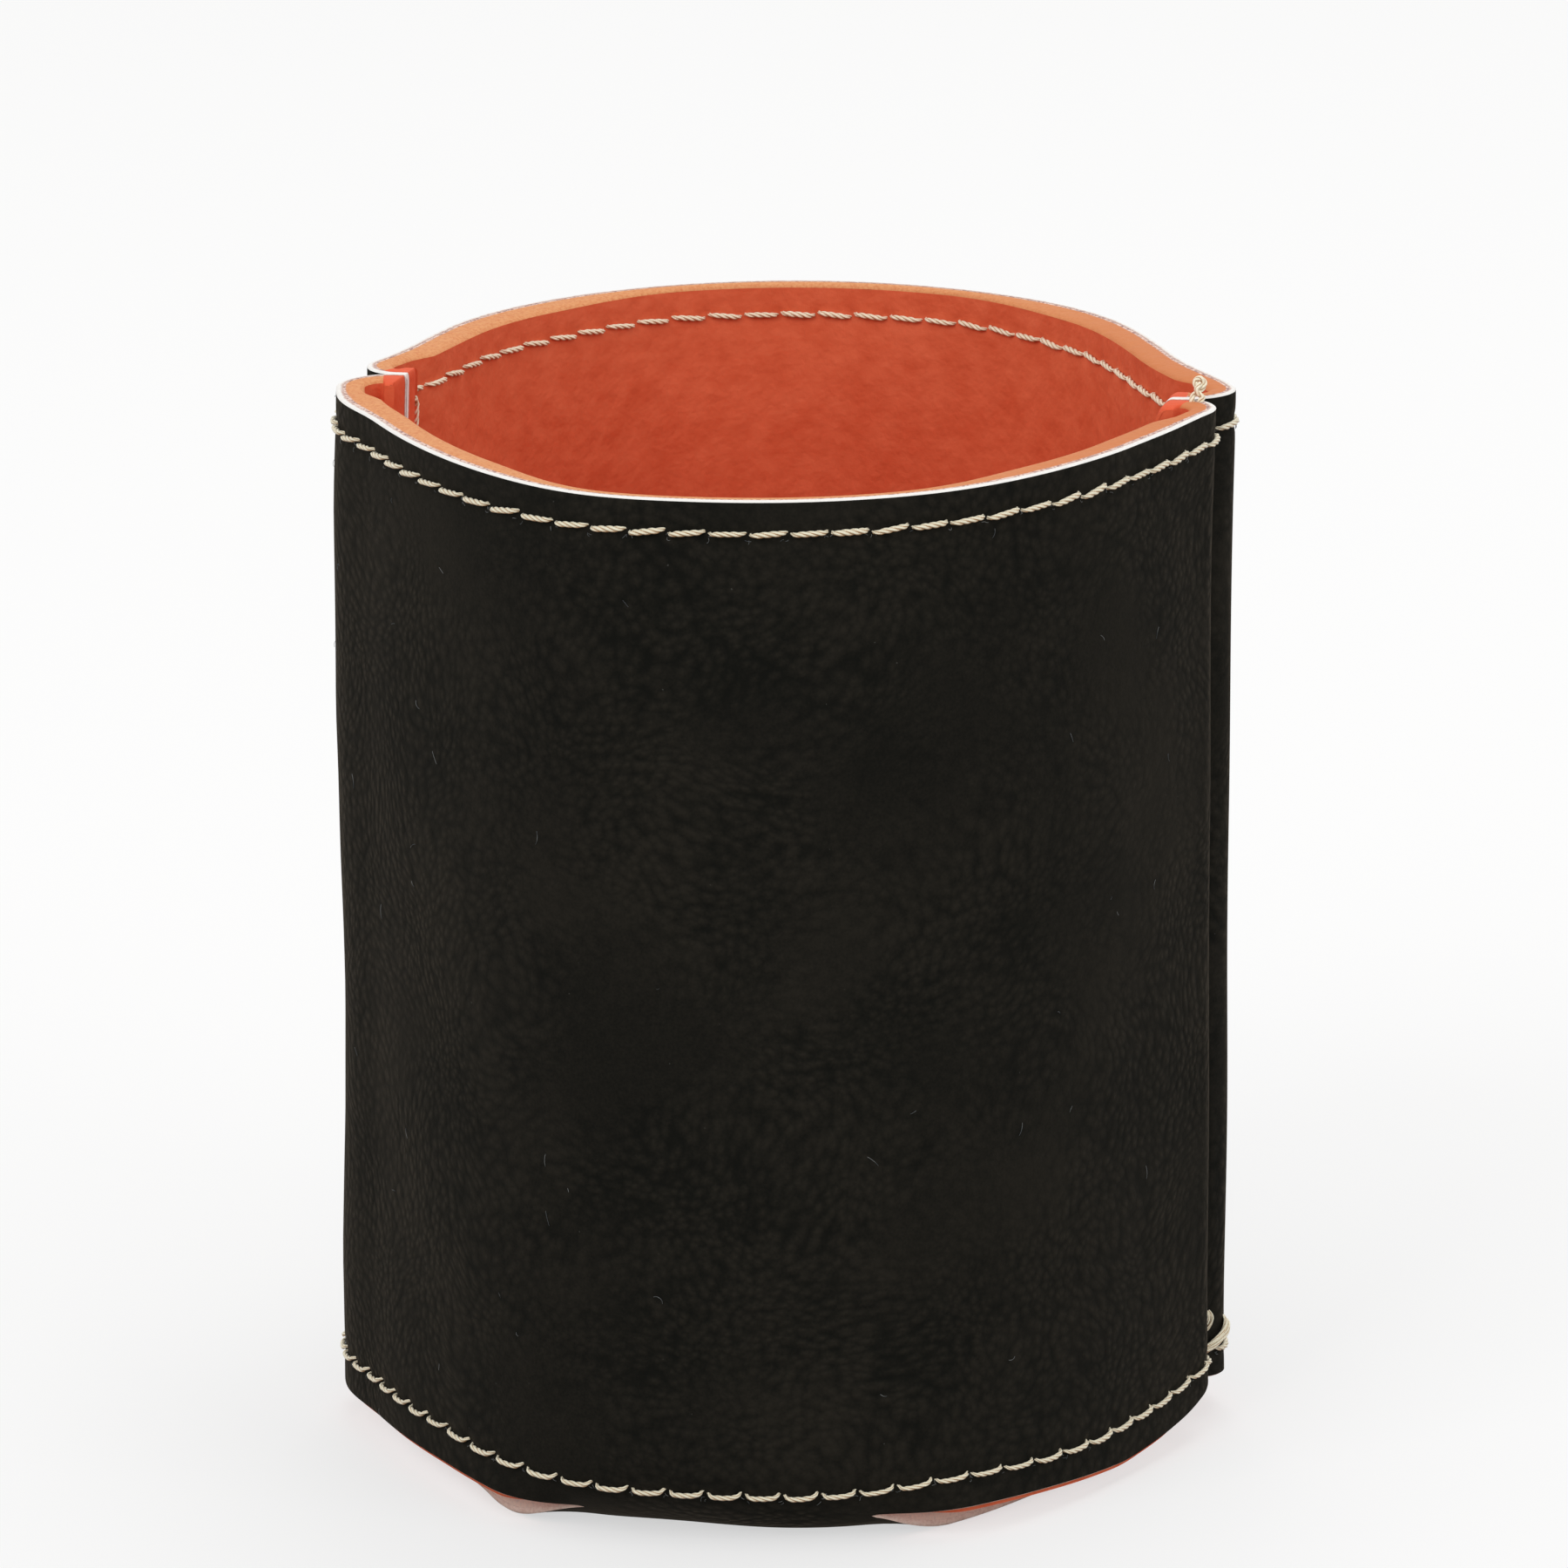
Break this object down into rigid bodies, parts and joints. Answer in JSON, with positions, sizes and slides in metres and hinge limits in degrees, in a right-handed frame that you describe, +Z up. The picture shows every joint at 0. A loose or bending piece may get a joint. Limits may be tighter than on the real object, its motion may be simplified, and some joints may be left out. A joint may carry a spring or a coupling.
{
  "type": "leatherette beverage holder",
  "caption": "Open-topped leatherette sleeve with a round folded bottom and foam lining, sewn up both sides, that holds and insulates a drinks can.",
  "frame": {"origin": "middle of the base, on the resting surface", "axes": "+Z up, out of the open top; the front panel faces -Y; the side seams are at +X and -X"},
  "size_m": [0.0804, 0.0876, 0.0962],
  "materials": {
    "leatherette": "matt black napped leatherette with a faint pebbled grain, white backing showing at its cut edges",
    "lining": "matt orange closed-cell foam",
    "thread": "twisted cream polyester sewing thread with a soft sheen"
  },
  "bodies": {
    "root": {"leatherette_cover": "leatherette", "foam_lining": "lining", "front_top_needle_thread": "thread", "front_top_bobbin_thread": "thread", "front_bottom_needle_thread": "thread", "front_bottom_bobbin_thread": "thread", "back_top_needle_thread": "thread", "back_top_bobbin_thread": "thread", "back_bottom_needle_thread": "thread", "back_bottom_bobbin_thread": "thread", "left_seam_thread": "thread", "right_seam_thread": "thread"}
  },
  "joints": []
}
